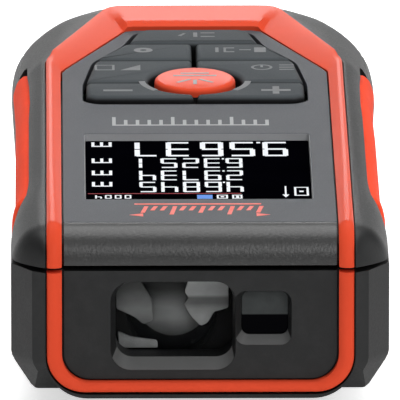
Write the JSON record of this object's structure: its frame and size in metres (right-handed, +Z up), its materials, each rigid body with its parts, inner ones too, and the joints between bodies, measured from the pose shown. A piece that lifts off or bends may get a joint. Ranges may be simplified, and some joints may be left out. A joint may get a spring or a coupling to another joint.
{
  "type": "laser distance meter",
  "caption": "Pocket laser distance meter: flat shouldered body with a display, a keypad, an optics window in one end, side grips, a fold-out end piece and a battery cover.",
  "frame": {"origin": "centre of the bounding box in plan, at the plane the meter rests on", "axes": "+Y from the laser end towards the fold-out end piece, +Z up through the display and keys, +X to the right as seen from the laser end with the display up"},
  "size_m": [0.044, 0.116, 0.026],
  "materials": {
    "charcoal": "fine spark-textured glass-filled plastic",
    "rubber_black": "matt black elastomer",
    "orange_gloss": "smooth satin-gloss moulded colour",
    "orange_soft": "soft-touch overmould",
    "nose_grey": "coarse textured plastic",
    "face_grey": "fine matt painted plastic",
    "key_grey": "matt silicone key",
    "black_glass": "polished black window",
    "module_dark": "dark display cell",
    "copper_flex": "amber polyimide ribbon",
    "lens_glass": "polished coated glass",
    "brass_dark": "dark turned brass",
    "metal_bright": "bright plated steel",
    "board_green": "green solder mask on glass epoxy",
    "chip_black": "moulded package black",
    "cell_wrap": "plain shrink-wrapped can",
    "label_silver": "plain blank plate"
  },
  "bodies": {
    "meter_body": {"lower_housing": "charcoal", "upper_housing": "charcoal", "seam_gasket": "rubber_black", "nose_cap": "nose_grey", "top_frame": "orange_gloss", "front_bumper": "orange_gloss", "side_grip_left": "orange_soft", "side_grip_right": "orange_soft", "face_panel": "face_grey", "display_window": "black_glass", "display_module": "module_dark", "display_carrier": "charcoal", "display_flex": "copper_flex", "keypad_mat": "rubber_black", "keypad_board": "board_green", "main_board": "board_green", "processor": "chip_black", "wireless_can": "metal_bright", "buzzer": "chip_black", "optics_block": "charcoal", "receiver_window": "lens_glass", "emitter_window": "lens_glass", "receiver_lens": "lens_glass", "collimator_barrel": "brass_dark", "collimator_lens": "lens_glass", "laser_diode": "metal_bright", "photodiode": "metal_bright", "detector_board": "board_green", "battery_cell_left": "cell_wrap", "battery_cell_right": "cell_wrap", "battery_spring_left": "metal_bright", "battery_spring_right": "metal_bright", "contact_plate_front": "metal_bright", "contact_plate_rear": "metal_bright", "end_piece_pin": "metal_bright", "lanyard_pin": "metal_bright", "blank_plate": "label_silver", "housing_screw_1": "metal_bright", "housing_screw_2": "metal_bright", "housing_screw_3": "metal_bright", "housing_screw_4": "metal_bright"},
    "key_measure_body": {"key_measure": "orange_gloss"},
    "key_plus_body": {"key_plus": "key_grey"},
    "key_minus_body": {"key_minus": "key_grey"},
    "key_function_body": {"key_function": "key_grey"},
    "key_timer_body": {"key_timer": "key_grey"},
    "key_memory_body": {"key_memory": "key_grey"},
    "key_reference_body": {"key_reference": "key_grey"},
    "key_clear_body": {"key_clear": "key_grey"},
    "battery_cover_body": {"battery_cover": "charcoal"},
    "end_piece_body": {"end_piece": "charcoal"}
  },
  "joints": [
    {"name": "measure_press", "type": "slide", "parent": "meter_body", "child": "key_measure_body", "axis": [0, 0, -1], "range_m": [0, 0.0005], "stiffness_N_per_m": 400},
    {"name": "plus_press", "type": "slide", "parent": "meter_body", "child": "key_plus_body", "axis": [0, 0, -1], "range_m": [0, 0.0005], "stiffness_N_per_m": 400},
    {"name": "minus_press", "type": "slide", "parent": "meter_body", "child": "key_minus_body", "axis": [0, 0, -1], "range_m": [0, 0.0005], "stiffness_N_per_m": 400},
    {"name": "function_press", "type": "slide", "parent": "meter_body", "child": "key_function_body", "axis": [0, 0, -1], "range_m": [0, 0.0005], "stiffness_N_per_m": 400},
    {"name": "timer_press", "type": "slide", "parent": "meter_body", "child": "key_timer_body", "axis": [0, 0, -1], "range_m": [0, 0.0005], "stiffness_N_per_m": 400},
    {"name": "memory_press", "type": "slide", "parent": "meter_body", "child": "key_memory_body", "axis": [0, 0, -1], "range_m": [0, 0.0005], "stiffness_N_per_m": 400},
    {"name": "reference_press", "type": "slide", "parent": "meter_body", "child": "key_reference_body", "axis": [0, 0, -1], "range_m": [0, 0.0005], "stiffness_N_per_m": 400},
    {"name": "clear_press", "type": "slide", "parent": "meter_body", "child": "key_clear_body", "axis": [0, 0, -1], "range_m": [0, 0.0005], "stiffness_N_per_m": 400},
    {"name": "battery_cover_lift_off", "type": "slide", "parent": "meter_body", "child": "battery_cover_body", "axis": [0, 0, -1], "range_m": [0, 0.03]},
    {"name": "end_piece_hinge", "type": "hinge", "parent": "meter_body", "child": "end_piece_body", "pos_m": [0, 0.0544, 0.0015], "axis": [1, 0, 0], "range_deg": [0, 180]}
  ]
}
